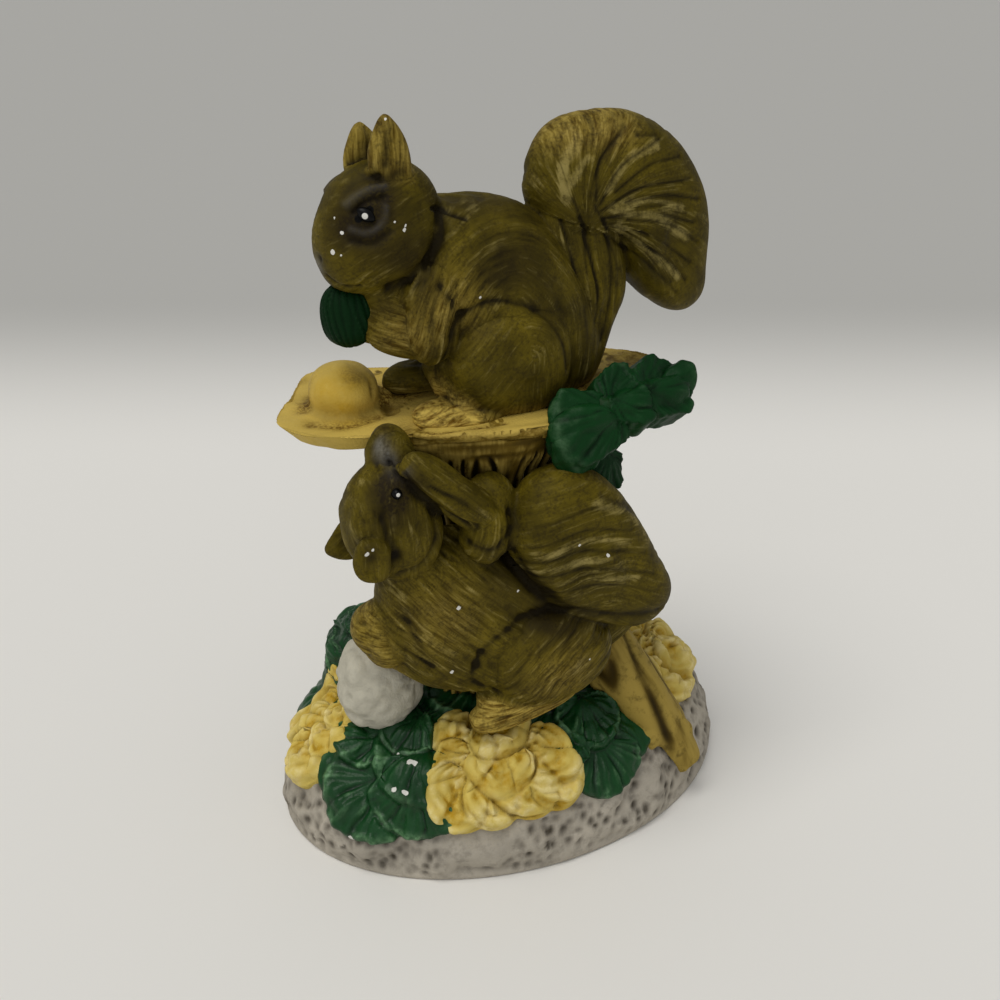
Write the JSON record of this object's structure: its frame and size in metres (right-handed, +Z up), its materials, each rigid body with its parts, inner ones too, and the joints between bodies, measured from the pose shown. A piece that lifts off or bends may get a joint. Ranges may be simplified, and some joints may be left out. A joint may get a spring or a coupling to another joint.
{
  "type": "squirrel figurine",
  "caption": "Hand-painted bisque porcelain group: one squirrel eats a nut on a broken stump, another climbs below it, on a rocky oval base with ivy.",
  "frame": {"origin": "centre of the oval foot, on the surface that the figurine stands on", "axes": "+Z up; X along the base's long axis, with both squirrels facing -X; the painted front faces -Y"},
  "size_m": [0.0998, 0.0734, 0.1422],
  "materials": {
    "rock_bisque": "hand-painted, unglazed, matte bisque porcelain",
    "bark_bisque": "hand-painted, unglazed, matte bisque porcelain",
    "pale_wood_bisque": "hand-painted, unglazed, matte bisque porcelain",
    "stone_bisque": "hand-painted, unglazed, matte bisque porcelain",
    "fur_bisque": "hand-painted, unglazed, matte bisque porcelain",
    "green_bisque": "hand-painted, unglazed, matte bisque porcelain",
    "yellow_bisque": "hand-painted, unglazed, matte bisque porcelain"
  },
  "bodies": {
    "root": {"ivy_back": "green_bisque", "ivy_back_right": "green_bisque", "ivy_front_left": "green_bisque", "ivy_front_right": "green_bisque", "ivy_knoll": "green_bisque", "lower_far_ear": "fur_bisque", "lower_far_forearm": "fur_bisque", "lower_foot": "fur_bisque", "lower_forepaw": "fur_bisque", "lower_haunch": "fur_bisque", "lower_head": "fur_bisque", "lower_near_ear": "fur_bisque", "lower_near_forearm": "fur_bisque", "lower_shoulder": "fur_bisque", "lower_tail": "fur_bisque", "lower_tail_root": "fur_bisque", "lower_torso": "fur_bisque", "nut": "green_bisque", "pale_stone": "stone_bisque", "rear_knoll": "rock_bisque", "rocky_base": "rock_bisque", "stump_burl": "pale_wood_bisque", "stump_leaf_front": "green_bisque", "stump_leaf_low": "green_bisque", "stump_leaf_right": "green_bisque", "stump_root_back": "bark_bisque", "stump_root_front": "bark_bisque", "stump_root_right": "bark_bisque", "stump_top": "pale_wood_bisque", "stump_trunk": "bark_bisque", "upper_far_arm": "fur_bisque", "upper_far_ear": "fur_bisque", "upper_far_foot": "fur_bisque", "upper_far_forearm": "fur_bisque", "upper_far_haunch": "fur_bisque", "upper_head": "fur_bisque", "upper_near_arm": "fur_bisque", "upper_near_ear": "fur_bisque", "upper_near_foot": "fur_bisque", "upper_near_forearm": "fur_bisque", "upper_near_haunch": "fur_bisque", "upper_tail_plume": "fur_bisque", "upper_tail_stem": "fur_bisque", "upper_torso": "fur_bisque", "yellow_leaves_back": "yellow_bisque", "yellow_leaves_front": "yellow_bisque", "yellow_leaves_left": "yellow_bisque", "yellow_leaves_right": "yellow_bisque"}
  },
  "joints": []
}
